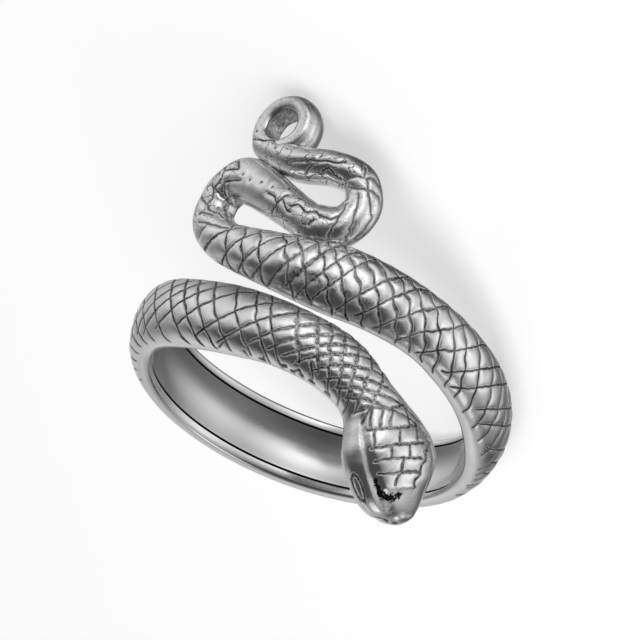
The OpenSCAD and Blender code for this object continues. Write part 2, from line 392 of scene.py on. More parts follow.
# Scales, cut by hand in the wax as two families of slanting grooves: first where each
# groove crosses the middle line
RISING = [
    7.3, 8.15, 9.0, 9.8, 10.55, 11.3, 12.45, 13.88, 14.7, 15.88, 17.2, 18.27, 19.25, 20.4,
    22.05, 23.6, 24.9, 26.1, 27.4, 28.7, 30.0, 31.3, 32.7, 56.2, 57.6, 58.8, 60.1, 61.35,
    62.55, 63.85, 65.3, 66.55, 67.5, 68.6, 69.55, 70.45, 71.35, 72.3, 73.3, 74.2, 75.05,
    76.2, 77.15, 78.75, 79.85, 81.0,
]
FALLING = [
    6.55, 7.35, 8.2, 9.14, 10.1, 10.9, 11.86, 12.93, 14.28, 15.88, 17.95, 19.6, 21.0, 22.25,
    23.75, 25.1, 26.4, 27.7, 29.0, 30.3, 56.0, 57.2, 58.4, 60.45, 61.8, 63.65, 64.95, 66.6,
    68.2, 69.75, 71.2, 72.35, 74.0, 74.85, 75.8, 76.8, 77.85, 78.8, 80.15, 81.75,
]
# Place, then millimetres along for each millimetre across: rising grooves below and
# above the middle, falling grooves below and above it
LEANS = np.array([
    (6, 0.8, 0.5, -1.0, -0.9),
    (13, 0.6, 0.4, -1.1, -1.2),
    (16, 0.7, 0.5, -1.1, -1.35),
    (20, 0.78, 0.9, -1.07, -1.35),
    (26, 0.9, 1.3, -1.0, -1.2),
    (57, 0.6, 0.6, -1.1, -1.3),
    (63, 0.62, 0.7, -0.95, -1.1),
    (67, 0.72, 0.65, -1.0, -0.9),
    (71, 0.6, 0.8, -0.8, -0.8),
    (76, 0.45, 0.7, -0.45, -0.5),
    (81, 0.4, 0.5, -0.65, -1.0),
])
# Hand-cut lines waver, most of all below the curl
unsteady = np.interp(along, [64, 69, 79, 82], [1, 2.6, 2.6, 1])
wobbled = along + 0.03 * unsteady * np.sin(5.1 * along + 2.3 * across)
wobbled += 0.02 * np.sin(11.7 * across - 6.1 * along)
shifted = across + 0.02 * unsteady * np.sin(7.9 * along + 1.7 * across)


def distance(points, s, c):
    """Distance from a line, and which side of it each place is on."""
    best, side = np.full(s.shape, 9.0), np.ones(s.shape)
    for (s0, c0), (s1, c1) in zip(points, points[1:]):
        run = (s1 - s0) ** 2 + (c1 - c0) ** 2
        t = np.clip(((s - s0) * (s1 - s0) + (c - c0) * (c1 - c0)) / run, 0, 1)
        d = np.hypot(s - s0 - t * (s1 - s0), c - c0 - t * (c1 - c0))
        turned = np.where((s1 - s0) * (c - c0) > (c1 - c0) * (s - s0), 1, -1)
        side = np.where(d < best, turned, side)
        best = np.minimum(best, d)
    return best, side


def window(points, reach=1.0):
    """The rings that a line can reach."""
    passed = [p[0] for p in points]
    return slice(*np.searchsorted(ring_s, [min(passed) - reach, max(passed) + reach]))


# Distance from the nearest groove of each family. Its sign changes at every groove, so
# it runs evenly through zero there, between the mesh's points too.
NECK_END = 13
NARROW_FROM = 17
SECOND_PASS = 56
NARROW_TO = 76
rng = np.random.default_rng(7)
gaps, shown = [], []
for family, places in ((1, RISING), (3, FALLING)):
    gap, seen = np.full(along.shape, 9.0), np.zeros(along.shape)
    for number, place in enumerate(places):
        below = np.interp(place, LEANS[:, 0], LEANS[:, family])
        above = np.interp(place, LEANS[:, 0], LEANS[:, family + 1])
        bottom = -2.3 + 0.2 * rng.random() if family == 1 else -1.7 - 0.5 * rng.random()
        if place < NECK_END:
            bottom = -1.5
        elif family == 1:
            bottom -= 0.2 if place > SECOND_PASS else 0.1
        elif NARROW_FROM < place < SECOND_PASS:
            bottom += 0.5
        top = 2.3 - 0.2 * rng.random() if place < NARROW_TO else 1.5
        points = [
            (place + below * bottom, bottom),
            (place + below * bottom * 0.5 + 0.04 * (rng.random() - 0.5), bottom * 0.5),
            (place, 0),
            (place + above * top * 0.45, top * 0.5),
            (place + above * top, top),
        ]
        part = window(points)
        d, side = distance(points, wobbled[part], shifted[part])
        past = np.maximum(bottom - shifted[part], shifted[part] - top)
        nearer = d < abs(gap[part])
        fading = 0.8 if place < NECK_END else 0.3
        inside = np.clip(1 - past / fading, 0, 1) * np.clip((0.6 - d) / 0.15, 0, 1)
        gap[part] = np.where(nearer, d * side * (-1) ** number, gap[part])
        seen[part] = np.where(nearer, inside, seen[part])
    gaps.append(np.clip(gap, -1, 1))
    shown.append(seen)

# Strokes below the scales, on the side towards the finger's end
STROKES = [
    [(7.4, -2.3), (7.6, -1.6), (8.2, -0.95)],
    [(8.05, -2.2), (8.3, -1.75), (8.7, -1.35)],
    [(9.05, -2.2), (9.2, -1.85), (9.65, -1.4)],
    [(10.4, -2.2), (10.5, -1.8), (11.0, -1.2)],
    [(11.15, -2.25), (11.4, -1.85), (11.75, -2.25)],
    [(12.25, -2.0), (12.5, -2.4)],
    [(13.5, -2.35), (13.65, -2.0)],
    [(14.55, -2.4), (14.85, -2.0)],
    [(16.0, -1.8), (16.35, -2.2)],
    [(6.86, -0.67), (6.95, -1.6)],
    [(54.9, -2.45), (55.1, -1.7)],
    [(56.45, -2.43), (56.75, -2.21), (56.65, -1.59), (56.6, -1.1)],
    [(58.1, -2.38), (58.4, -2.0), (58.3, -1.39), (58.3, -1.0)],
]

# Deep triangular ends of some of the strokes
FEET = [
    [(13.6, -2.33), (13.8, -2.3)],
    [(12.25, -2.08), (12.45, -2.13)],
    [(10.3, -2.2), (10.5, -2.2)],
    [(8.95, -2.16), (9.15, -2.16)],
    [(11.15, -2.2), (11.22, -2.12)],
    [(11.7, -2.25), (11.78, -2.2)],
]

# Head: grooves between the crown's plates, in rows from the snout to the neck
PLATES = [
    [(3.1, -1.75), (3.05, -1.2), (3.05, -0.5), (3.0, 0.1), (2.9, 0.65)],
    [(3.8, -1.8), (3.8, -1.2), (3.75, -0.5), (3.7, 0.2), (3.65, 0.9)],
    [(4.6, -1.75), (4.55, -1.0), (4.5, -0.4), (4.4, 0.1), (4.35, 0.6), (4.3, 1.3)],
    [(5.6, -1.5), (5.5, -0.9), (5.4, -0.3), (5.3, 0.2), (5.25, 0.8), (5.2, 1.6)],
    [(6.95, -1.5), (6.8, -0.7), (6.5, -0.1), (6.4, 0.3), (6.35, 0.8), (6.3, 1.5)],
    [(2.45, -1.0), (2.95, -0.65)],
    [(3.05, -0.6), (3.7, -0.25)],
    [(3.75, -1.0), (4.5, -0.7)],
    [(3.8, 0.1), (4.35, 0.35)],
    [(4.6, -0.2), (5.35, 0.25)],
    [(4.7, -1.6), (5.5, -1.15)],
    [(5.5, -0.35), (6.1, 0.2), (6.4, 0.4)],
    [(5.55, -0.9), (6.3, -0.3), (6.5, -0.1)],
    [(5.6, -1.4), (6.5, -0.85), (6.75, -0.6)],
    [(4.4, 0.9), (5.2, 1.35)],
    [(5.3, 0.9), (6.3, 1.3)],
]
PLATES_FRONT = [(2.45, -1.65), (2.4, -1.3), (2.3, -0.6), (2.2, 0.0), (2.15, 0.3)]
PLATES_SIDE = [
    (2.1, 0.27), (2.35, 0.22), (2.6, 0.35), (2.75, 0.72), (3.0, 0.75), (3.3, 0.9),
    (3.5, 1.15), (3.75, 1.3), (3.95, 1.5), (4.15, 1.75), (4.25, 2.2),
]
EYE = [(2.1, -2.75), (2.2, -2.9), (2.45, -3.08), (2.85, -3.26), (3.2, -3.22), (3.38, -3.02)]
LID = [(3.38, -3.02), (3.2, -2.84), (2.9, -2.74), (2.45, -2.66), (2.15, -2.66)]
MOUTH = [(0.35, -1.5), (1.2, -2.6), (2.0, -3.15), (2.8, -3.55)]
NOSTRIL = [(0.2, -0.75), (0.22, -1.1)]

# Curl: larger, less even scales, long lines in its second bend and pits
CURL_LINES = [
    [(81.5, 0.59), (82.2, 0.48), (82.95, 0.26), (83.3, 0.09), (83.95, -0.19)],
    [(81.5, 0.3), (81.8, -0.19), (82.2, -0.85), (82.6, -1.35)],
    [(83.05, 1.14), (83.7, 1.1), (83.85, 0.87), (84.2, 0.7), (85.05, 0.53)],
    [(83.05, 0.26), (83.1, -0.2), (83.2, -0.75)],
    [(83.5, 0.76), (84.3, 0.3), (84.45, 0.0)],
    [(85.05, 0.53), (85.35, 0.2), (85.7, -0.4)],
    [(85.05, 0.53), (85.55, 0.67), (86.2, 0.53), (86.4, 0.2), (86.5, -0.13)],
    [(86.2, 1.14), (86.4, 0.87), (86.45, 0.3)],
    [(86.55, 0.37), (86.9, 0.37), (87.15, 0.15), (87.3, -0.25), (87.3, -0.7)],
    [(86.65, 1.25), (87.0, 0.9), (87.4, 0.48)],
    [(87.55, 0.6), (88.3, 0.6), (89.0, 0.37)],
    [(87.45, -0.2), (87.8, -0.08), (88.3, -0.13), (88.1, -0.5), (87.95, -0.75)],
    [(91.95, 1.15), (92.05, 0.65), (92.1, 0.0), (92.2, -0.35)],
    [(91.2, 0.2), (91.7, 0.2), (92.0, 0.42)],
    [(92.3, 0.15), (92.8, 0.42), (93.0, 0.42)],
    [
        (92.8, 0.15), (93.1, -0.19), (93.7, -0.13), (94.3, -0.4), (94.55, -0.19),
        (95.2, 0.0), (95.55, -0.19),
    ],
    [(94.15, 0.53), (94.3, 0.09)],
    [(95.05, 1.03), (95.2, 0.53), (95.45, 0.15), (95.65, -0.2), (96.1, -0.47), (96.65, -0.75)],
    [(95.65, 1.53), (95.7, 1.1), (95.9, 0.65), (96.35, 0.2), (96.9, -0.15), (97.65, -0.33)],
    [(96.1, 1.5), (96.5, 1.1), (96.9, 1.03), (97.05, 0.65), (97.4, 0.37), (97.65, 0.2)],
    [(97.7, 1.0), (97.85, 0.53), (97.95, 0.09), (98.1, -0.47), (98.35, -0.8)],
    [(97.65, 0.2), (98.1, 0.2), (98.55, 0.26), (99.0, -0.35), (99.35, -0.75)],
    [(98.45, 0.98), (98.65, 0.53), (98.55, 0.26)],
    [(99.1, 0.65), (98.75, 0.2)],
    [
        (99.9, 0.2), (100.2, -0.08), (100.7, -0.13), (101.2, -0.19), (102.0, -0.24),
        (102.8, -0.47),
    ],
    [(99.7, -0.9), (100.2, -0.85), (100.65, -0.47), (101.0, -0.8)],
    [(101.2, 0.2), (101.3, -0.2)],
    [(101.65, -0.5), (101.95, -1.0)],
    [(104.0, 0.37), (104.65, 0.48), (105.2, 0.2), (105.7, 0.0), (106.0, -0.47)],
]
PITS = [
    (88.9, 0.03), (89.6, 0.14), (90.4, -0.08), (91.15, -0.2), (86.9, 0.33), (106.3, 0.0),
    (107.15, -0.15),
]
TIP_STREAKS = [
    [(109.6, -0.1), (111.0, -0.05), (112.6, 0.1)],
    [(109.8, -0.45), (111.0, -0.45), (112.4, -0.4)],
    [(110.0, -0.85), (111.0, -0.95), (112.2, -0.9)],
]


def mirrored(points):
    return [(s, -c) for s, c in points]


# All these lines, and by how much each is cut thinner than the scales' grooves
MARK_REACH = 0.2
marks = np.full(along.shape, 9.0)
cut_lines = [(points, 0.0) for points in STROKES + PLATES + CURL_LINES]
cut_lines += [(PLATES_SIDE, -0.01), (EYE, -0.02), (mirrored(EYE), -0.02), (NOSTRIL, -0.04)]
cut_lines += [(LID, 0.01), (mirrored(LID), 0.01)]
cut_lines += [(MOUTH, -0.03), (mirrored(MOUTH), -0.03)]
cut_lines += [([(s, c + 0.03), (s + 0.01, c - 0.03)], 0.0) for s, c in PITS]
cut_lines += [(points, 0.06) for points in TIP_STREAKS]
cut_lines += [(points, -0.07) for points in FEET]
for points, thinner in cut_lines:
    part = window(points, 0.4)
    d, _ = distance(points, wobbled[part], shifted[part])
    marks[part] = np.minimum(marks[part], d + thinner)

# Relief. The grooves stop round the plain back of the finger, and the scales between
# them are slightly pillowed, most at the neck and in the curl.
fade = np.interp(turns, [106, 128, 228, 248], [1, 0, 0, 1])[:, None]
UNSEEN_GAP = 0.3
GROOVE_DEPTH = 0.045
GROOVE_REACH = 0.075
PILLOW_REACH = 0.24
UNEVEN_H = 0.012
marks += (1 - fade) * MARK_REACH
shown = [seen * fade for seen in shown]
nearest = marks
for gap, seen in zip(gaps, shown):
    nearest = np.minimum(nearest, abs(gap) + (1 - seen) * UNSEEN_GAP)
PILLOW_S = [2, 5, 12, 16, 30, 58, 64, 84, 104, 108]
PILLOW_H = [0.03, 0.035, 0.03, 0.02, 0.015, 0.02, 0.035, 0.05, 0.04, 0.01]
pillow = np.interp(ring_s, PILLOW_S, PILLOW_H)[:, None]
relief = -GROOVE_DEPTH * np.exp(-((nearest / GROOVE_REACH) ** 2))
inner = np.interp(across, [-1.9, -1.3, 1.6, 2.2], [0, 1, 1, 0])
relief += pillow * inner * (0.6 - np.exp(-((nearest / PILLOW_REACH) ** 2))) * fade
uneven = UNEVEN_H * np.sin(3.1 * along + 2.2 * across)
relief += uneven * np.sin(1.7 * across - 2.3 * along) * fade

# Scales at the neck stand up like beads from wide, flat-bottomed grooves
BEAD_H = 0.05
beaded = np.interp(ring_s, [6.5, 7.2, 12, 14], [0, 1, 1, 0])[:, None]
beaded = beaded * np.interp(across, [-1.4, -0.9, 0.9, 1.4], [0.3, 1, 1, 0.3])
bead_wall = eased(np.clip((nearest - 0.07) / 0.09, 0, 1))
relief += beaded * (BEAD_H * (bead_wall - 0.6) - 0.6 * relief)

# The cheeks are sunk below a slanting brow, with a low domed eye in each, and the snout
# ends in a small bump
BROW = [
    (0.9, -1.62), (1.3, -1.78), (1.9, -2.0), (2.55, -2.14), (3.45, -2.25), (4.0, -2.23),
    (4.45, -2.16), (5.0, -2.02), (5.6, -1.8), (6.1, -1.5), (6.6, -1.2),
]
BROW_WIDTH = 0.28
BROW_DROP = 0.1
CHEEK_REACH = 0.5
EYE_MIDDLE = (2.75, 2.96)
EYE_HALF = (0.65, 0.28)
EYE_H = 0.05
BUMP_MIDDLE = (0.45, -0.6)
BUMP_R = 0.55
BUMP_H = 0.12
for line, outside in ((BROW, -1), (mirrored(BROW), 1)):
    part = window(line, 0.3)
    d, side = distance(line, along[part], across[part])
    past = d * np.where(side * outside > 0, -1, 1)
    step = np.clip(past / BROW_WIDTH + 0.5, 0, 1)
    ends = np.interp(along[part], [1.0, 1.7, 5.2, 6.6], [0, 1, 1, 0])
    relief[part] -= BROW_DROP * step * ends * np.exp(-np.maximum(past, 0) / CHEEK_REACH)
for hand in (-1, 1):
    d = ((along - EYE_MIDDLE[0]) / EYE_HALF[0]) ** 2
    d += ((across - hand * EYE_MIDDLE[1]) / EYE_HALF[1]) ** 2
    relief += EYE_H * np.sqrt(np.clip(1 - d, 0, 1))
d = ((along - BUMP_MIDDLE[0]) ** 2 + (across - BUMP_MIDDLE[1]) ** 2) / BUMP_R**2
relief += BUMP_H * np.clip(1 - d, 0, 1) ** 2

# The plates' raised front edge, and the black hollow below it
EDGE_H = 0.05
EDGE_WIDTH = 0.08
HOLLOW = [
    (2.0, -0.78), (1.92, -1.1), (1.97, -1.45), (2.25, -1.78), (2.6, -1.88), (2.9, -1.93),
]
HOLLOW_DIP = 0.04
HOLLOW_WIDTH = 0.2
part = window(PLATES_FRONT)
d, _ = distance(PLATES_FRONT, wobbled[part], shifted[part])
relief[part] += EDGE_H * np.exp(-((d / EDGE_WIDTH) ** 2))
stain = np.zeros_like(along)
part = window(HOLLOW)
d, _ = distance(HOLLOW, along[part], across[part])
room = np.interp(along[part], [1.9, 2.1, 2.5, 3.0], [0.16, 0.18, 0.13, 0.06])
stain[part] = np.clip(0.45 + (room - d) / 0.3, 0, 0.8) * (d < 0.4)
relief[part] -= HOLLOW_DIP * np.exp(-((d / HOLLOW_WIDTH) ** 2))

# Section: dome, rounded flanks, and the back towards the finger, which is flat round
# the front and hollowed between two fine grooves round the rest of the finger
FLANK_STEPS = 4
FLANK_BENDS = np.radians([14, 45, 76, 90])
FLAT_SHARE = 0.84
PANEL = np.array([0.5, 0.95, 1.25, 1.38, 1.43, 1.46, 1.54, 1.57])
PANEL = np.concatenate([-PANEL[::-1], [0], PANEL])
PANEL_DIP = 0.28
PANEL_GROOVE = 0.1
PANEL_BEND = 0.65
normal_x = (thick - low)[:, None] * np.cos(angles)
normal_h = wide[:, None] / 2 * np.sin(angles)
size = np.hypot(normal_x, normal_h)
dome_x = dome_x + relief * normal_x / size
dome_h = dome_h + relief * normal_h / size
base = np.interp(turns, [22, 27, 322, 327], [BRANCH_GAP, 0, 0, BRANCH_GAP])
panel = np.interp(turns, [88, 98, 250, 258], [0, 1, 1, 0])
flat = (FLAT_SHARE + 0.05 * panel) * wide / 2
squarer = (1 - 0.3 * panel)[:, None]
left_x = -(flat[:, None] + (wide / 2 - flat)[:, None] * np.cos(FLANK_BENDS) ** squarer)
left_h = low[:, None] - (low - base)[:, None] * np.sin(FLANK_BENDS) ** squarer
grooved = (np.abs(np.abs(PANEL) - 1.5) < 0.05).astype(float)
out = np.minimum(1, np.abs(PANEL) / 1.42)
bowl = np.where(out < PANEL_BEND, out**2, 2 * PANEL_BEND * out - PANEL_BEND**2)
hollowed = 1 - bowl / bowl.max()
shrink = np.minimum(1, flat / 1.6)[:, None]
back_x = PANEL * shrink
back_h = base[:, None] + (PANEL_DIP * hollowed + PANEL_GROOVE * grooved) * panel[:, None]
section_x = np.concatenate([dome_x, left_x, back_x, -left_x[:, ::-1]], axis=1)
section_h = np.concatenate([dome_h, left_h, back_h, left_h[:, ::-1]], axis=1)
sides = section_x.shape[1]

# The snout is slimmer and lower than the head behind it, and closes in a rounded end
NOSE = 0.55
NOSE_BACK = 0.2
MIDDLE_H = 0.45
SLIMMER_S = [0, 0.4, 0.8, 1.3, 2, 3.5]
closing = np.sqrt(1 - (1 - np.clip((ring_s + 0.04) / NOSE, 0, 1)) ** 2)[:, None]
slimmer = np.interp(ring_s, SLIMMER_S, [0.42, 0.34, 0.25, 0.15, 0.08, 0])[:, None]
slimmer_left = np.interp(ring_s, [0, 0.7, 1.5, 2.2], [0.2, 0.14, 0.05, 0])[:, None]
lower = np.interp(ring_s, [0, 0.7, 1.5, 2.5, 3.5], [0.15, 0.28, 0.18, 0.05, 0])[:, None]
section_x = section_x * (1 - np.where(section_x > 0, slimmer, slimmer_left)) * closing
nose_h = MIDDLE_H * thick[:, None]
lowered = nose_h + (section_h - nose_h) * (1 - lower)
section_h = np.where(section_h > nose_h, lowered, section_h)
section_h = nose_h + (section_h - nose_h) * closing

way = heading(ring_s)
route = station(ring_s + NOSE_BACK * np.clip(1 - ring_s / 1.5, 0, 1) ** 2)
skin = wrapped(
    route[0][:, None] + way[1][:, None] * section_x,
    route[1][:, None] - way[0][:, None] * section_x,
    section_h,
)
middles = wrapped(route[0], route[1], MIDDLE_H * thick)

# Darker, duller patches on the plates' right, along both sides of the neck, on the body, below
# the curl and on the end loop, painted shade on the snout, and painted dark reflections in
# small pools below the curl: place, reach along and across, and how much of it. The head's
# right edge has less than the rest, a painted highlight.
DULL_AND_PAINTED_PATCHES = [
    (4.3, 1.4, 1.5, 0.6, 0.6),
    # Painted shade on the snout, then a painted highlight on the head's right edge
    (1.2, -1.35, 0.5, 0.3, 1.0),
    (1.9, 1.3, 1.1, 0.6, -0.4),
    (19.0, 1.2, 5.0, 0.9, 0.2),
    (9.3, 1.6, 2.6, 0.5, 0.6),
    (15.8, 1.5, 3.0, 0.6, 0.6),
    (27.5, 0.0, 4.5, 4.0, 0.35),
    (69.0, -1.7, 10.0, 0.8, 0.25),
    (76.0, -1.2, 2.5, 0.6, 0.1),
    (109.0, 0.3, 3.0, 3.0, 0.25),
    # Painted dark reflections: small pools below the curl
    (77.2, -0.72, 0.2, 0.3, 0.6),
    (76.35, -0.75, 0.25, 0.3, 0.7),
    (75.5, -0.62, 0.3, 0.16, 0.8),
    (75.1, -0.86, 0.3, 0.16, 0.8),
    (74.25, -1.0, 0.22, 0.22, 0.8),
    (73.5, -0.9, 0.35, 0.15, 0.8),
    (72.45, -0.86, 0.28, 0.12, 0.7),
    (71.4, -0.95, 0.25, 0.12, 0.5),
]
# Painted shade along both brows, darkening the bright ribbon beside them: strength and reach
BROW_PAINTED_SHADE = 0.3
BROW_PAINTED_SHADE_REACH = 0.14
dulled_and_painted_light = np.zeros_like(along)
for line in (BROW, mirrored(BROW)):
    part = window(line, 0.5)
    d, _ = distance(line, along[part], across[part])
    dulled_and_painted_light[part] += BROW_PAINTED_SHADE * np.exp(-((d / BROW_PAINTED_SHADE_REACH) ** 2))
for s, c, run, spread, amount in DULL_AND_PAINTED_PATCHES:
    dulled_and_painted_light += amount * np.exp(-(((along - s) / run) ** 2) - ((across - c) / spread) ** 2)

# How worn the surface is, how broad the grooves are and how cracked it is, by the route
WORN_S = [2, 6, 13, 17, 60, 68, 72, 84, 106]
WORN = [0.7, 1, 1, 0.2, 0.2, 0.4, 0.9, 1, 0.8]
BROAD_S = [2, 3, 6, 6.5, 16, 19, 30, 33, 68, 72, 80, 83]
BROAD = [0.3, 0.45, 0.45, 0.3, 0.2, 0.45, 0.45, 0, 0, 0.4, 0.4, 0]
CRACKED_S = [82.5, 84, 88, 88.7, 91.3, 92, 94.5, 95.5, 98, 99, 104, 106]
CRACKED = [0, 1, 1, 0.2, 0.2, 1, 0.9, 0.3, 0.3, 1, 1, 0.2]
wear = np.interp(ring_s, WORN_S, WORN)[:, None] + 0 * along
broad = np.interp(ring_s, BROAD_S, BROAD)[:, None]
cracked = np.interp(ring_s, CRACKED_S, CRACKED)[:, None] + 0 * along

# The back is left unpolished, as cast, where it faces the other pass, and is polished round
# the rest of the finger. The panel gets painted shade, darker towards its top edge and most at
# turns 122 to 142. Oxide fills its two grooves.
back = np.zeros((len(ring_s), sides - DOME_STEPS - 1))
back_panel = slice(FLANK_STEPS, FLANK_STEPS + len(PANEL))
as_cast_and_shade, back_lines = back.copy(), back.copy()
as_cast_and_shade[:] = np.interp(ring_s, [19, 22, 60, 63], [1, 0.12, 0.12, 1])[:, None]
as_cast_and_shade[:, :FLANK_STEPS] *= [0.1, 0.2, 0.4, 0.7]
as_cast_and_shade[:, -FLANK_STEPS:] *= [0.7, 0.4, 0.2, 0.1]
# Painted shade on the panel: darker towards its top edge and round turns 122 to 142, slightly
# lighter at its bottom edge
panel_painted_shade = np.interp(PANEL, [-0.9, 0, 0.8, 1.3], [-0.12, 0.15, 0.5, 0.6])
panel_painted_shade = panel_painted_shade + np.interp(turns, [95, 122, 142, 158], [0.05, 0.25, 0.2, 0])[:, None]
as_cast_and_shade[:, back_panel] += panel_painted_shade * panel[:, None]
back_lines[:, back_panel] = grooved * panel[:, None]
back_wear = back + 0.2 * (1 - panel[:, None])

# What the silver's material reads at each point: the two families' distances and how far each
# is seen, the nearness of the other lines, the black, the wear, the grooves' breadth, how
# polished it is with the painted shade and highlight in that, and the cracks
looks = {
    "rising": np.concatenate([gaps[0], back], axis=1),
    "falling": np.concatenate([gaps[1], back], axis=1),
    "rising_shown": np.concatenate([shown[0], back], axis=1),
    "falling_shown": np.concatenate([shown[1], back], axis=1),
    "marks": np.concatenate([np.clip(1 - marks / MARK_REACH, 0, 1), back], axis=1),
    "stain": np.concatenate([stain, back_lines], axis=1),
    "worn": np.concatenate([wear, back_wear], axis=1),
    "wide": np.concatenate([np.maximum(beaded, broad), back], axis=1),
    "polish_and_painted_light": np.concatenate([1 - dulled_and_painted_light, 1 - as_cast_and_shade], axis=1),
    "cracked": np.concatenate([cracked, back], axis=1),
}

# Columns kept in each stretch: all of the dome at the head, every second one on the
# body, every fourth round the plain back, and the panel's only where it is hollowed
PLAIN_BACK = (35, 54)
PANEL_RINGS = (24, 60)
dome_columns = np.arange(DOME_STEPS + 1)
rest_columns = np.arange(DOME_STEPS + 1, sides)
panel_columns = DOME_STEPS + 1 + FLANK_STEPS + np.arange(len(PANEL))
half_panel = len(PANEL) // 2
plain_columns = np.setdiff1d(rest_columns, panel_columns[1:half_panel])
plain_columns = np.setdiff1d(plain_columns, panel_columns[half_panel + 1 : -1])


def kept_columns(s):
    share = 1 if s < NECK_END else 4 if PLAIN_BACK[0] < s < PLAIN_BACK[1] else 2
    hollow = PANEL_RINGS[0] < s < PANEL_RINGS[1]
    return np.r_[dome_columns[::share], rest_columns if hollow else plain_columns]


def stretch(name, first, last):
    """A closed length of the snake between two of its rings."""
    kept = [kept_columns(ring_s[i]) for i in range(first, last + 1)]
    starts = np.concatenate([[0], np.cumsum([len(k) for k in kept])])
    faces = []
    for i in range(len(kept) - 1):
        near = {int(c): int(starts[i] + k) for k, c in enumerate(kept[i])}
        far = {int(c): int(starts[i + 1] + k) for k, c in enumerate(kept[i + 1])}
        shared = [c for c in near if c in far]
        for c, d in zip(shared, shared[1:] + [sides]):
            over = [near[j] for j in range(c, d) if j in near] + [near[d % sides]]
            under = [far[j] for j in range(c, d) if j in far] + [far[d % sides]]
            faces.append(under + over[::-1])
    total = int(starts[-1])
    for k in range(len(kept[0])):
        faces.append([k, (k + 1) % len(kept[0]), total])
    for k in range(len(kept[-1])):
        end = int(starts[-2])
        faces.append([end + (k + 1) % len(kept[-1]), end + k, total + 1])
    places = [skin[first + i, k] for i, k in enumerate(kept)]
    places.append(middles[[first, last]])
    mesh = bpy.data.meshes.new(name)
    mesh.from_pydata(laid(np.concatenate(places)).tolist(), [], faces)
    for label, values in looks.items():
        layer = mesh.attributes.new(label, "FLOAT", "POINT")
        listed = [values[first + i, k] for i, k in enumerate(kept)] + [np.zeros(2)]
        layer.data.foreach_set("value", np.concatenate(listed).astype(np.float32))
    piece = bpy.data.objects.new(name, mesh)
    bpy.context.scene.collection.objects.link(piece)
    return piece


# The curl and the end loop touch the lengths before them, so the snake is drawn in
# three lengths, which are then joined into one solid
row_s = reached[::FINE]
first_pass = len(HEAD) + len(BODY) + BEND_STEPS
loop_top = len(rows) - 1 - LOOP_STEPS // 2
cuts = [int(np.searchsorted(ring_s, row_s[k])) for k in (first_pass, loop_top)]
snake = stretch("snake_silver", 0, cuts[0])
curl = stretch("curl", cuts[0], cuts[1])
tip = stretch("tip", cuts[1], len(ring_s) - 1)

# Tail's eye: a straight hole through the end loop, square to the finger, cut with a
# rod that leaves its wall rough. The wall is left half dark.
EYE_SIDES = 96
EYE_RINGS = 31
EYE_REACH = 3 * LOOP_T
WALL_LOOKS = {"polish_and_painted_light": 0.4, "worn": 0.7}
eye_flat = in_curl(*LOOP_CENTRE)
eye_centre = wrapped(eye_flat[0], eye_flat[1], LOOP_T / 2)
eye_turn = eye_flat[0] / ROUTE_R
eye_way = np.array([np.sin(eye_turn), -np.cos(eye_turn), 0])
eye_side = np.array([np.cos(eye_turn), np.sin(eye_turn), 0])
EYE_UP = np.array([0, 0, 1])
round_eye = np.radians(np.arange(EYE_SIDES) * 360 / EYE_SIDES)
wall, wall_faces = [], []
for k in range(EYE_RINGS):
    drilled = (k / (EYE_RINGS - 1) - 0.5) * EYE_REACH
    ripple = 0.02 * np.sin(5 * round_eye + 2.1 * k) + 0.015 * np.sin(9 * round_eye - 1.3 * k)
    spokes = np.cos(round_eye)[:, None] * eye_side + np.sin(round_eye)[:, None] * EYE_UP
    wall_ring = (LOOP_HOLE_D / 2 + ripple)[:, None] * spokes
    wall.append(eye_centre + drilled * eye_way + wall_ring)
    for j in range(EYE_SIDES):
        n = (j + 1) % EYE_SIDES
        if k:
            a, b = (k - 1) * EYE_SIDES, k * EYE_SIDES
            wall_faces.append([a + j, a + n, b + n, b + j])
wall_faces.append(list(range(EYE_SIDES))[::-1])
wall_faces.append([(EYE_RINGS - 1) * EYE_SIDES + j for j in range(EYE_SIDES)])
wall_mesh = bpy.data.meshes.new("eye_wall")
wall_mesh.from_pydata(laid(np.concatenate(wall)).tolist(), [], wall_faces)
for label in looks:
    layer = wall_mesh.attributes.new(label, "FLOAT", "POINT")
    wall_values = np.full(EYE_SIDES * EYE_RINGS, WALL_LOOKS.get(label, 0), np.float32)
    layer.data.foreach_set("value", wall_values)
drill = bpy.data.objects.new("eye_wall", wall_mesh)
bpy.context.scene.collection.objects.link(drill)

bpy.context.view_layer.objects.active = snake
for tool, operation in ((curl, "UNION"), (tip, "UNION"), (drill, "DIFFERENCE")):
    joint = snake.modifiers.new("join", "BOOLEAN")
    joint.operation = operation
    joint.solver = "MANIFOLD"
    joint.object = tool
    bpy.ops.object.modifier_apply(modifier=joint.name)
    bpy.data.objects.remove(tool)

SHARP_EDGE = np.radians(55)
bpy.ops.object.select_all(action="DESELECT")
snake.select_set(True)
bpy.ops.object.shade_smooth_by_angle(angle=SHARP_EDGE)

# Silver: oxidised black all over and polished back by hand, so that the oxide stays in
# the grooves, with ragged edges, and where the wheel didn't reach. Colours first, then
# the sizes of the patterns, and the heights of the bumps in metres.
POLISHED = (0.9, 0.9, 0.905, 1)
TARNISHED_AND_SHADED = (0.2, 0.2, 0.203, 1)
OXIDE = (0.06, 0.06, 0.061, 1)
BLACK = (0.02, 0.02, 0.021, 1)
CLOUDS = {"Scale": 900.0, "Detail": 4.0}
GRAIN = {"Scale": 7000.0, "Detail": 3.0}
PATCHES = {"Scale": 350.0, "Detail": 2.0}
TWISTS = {"Scale": 1500.0}
TWIST_REACH = 0.0007
CELL_SCALE = 1300.0
GROOVE_HALF = 0.05
GRAIN_H = 0.000002
GRAIN_WORN_H = 0.000008
GRAIN_LINE_H = 0.000006
GRAIN_BROAD_H = 0.00002
GRAIN_DULL_H = 0.000003
GRAIN_TORN_H = 0.00002
CLOUD_H = 0.000008
CLOUD_WORN_H = 0.00003
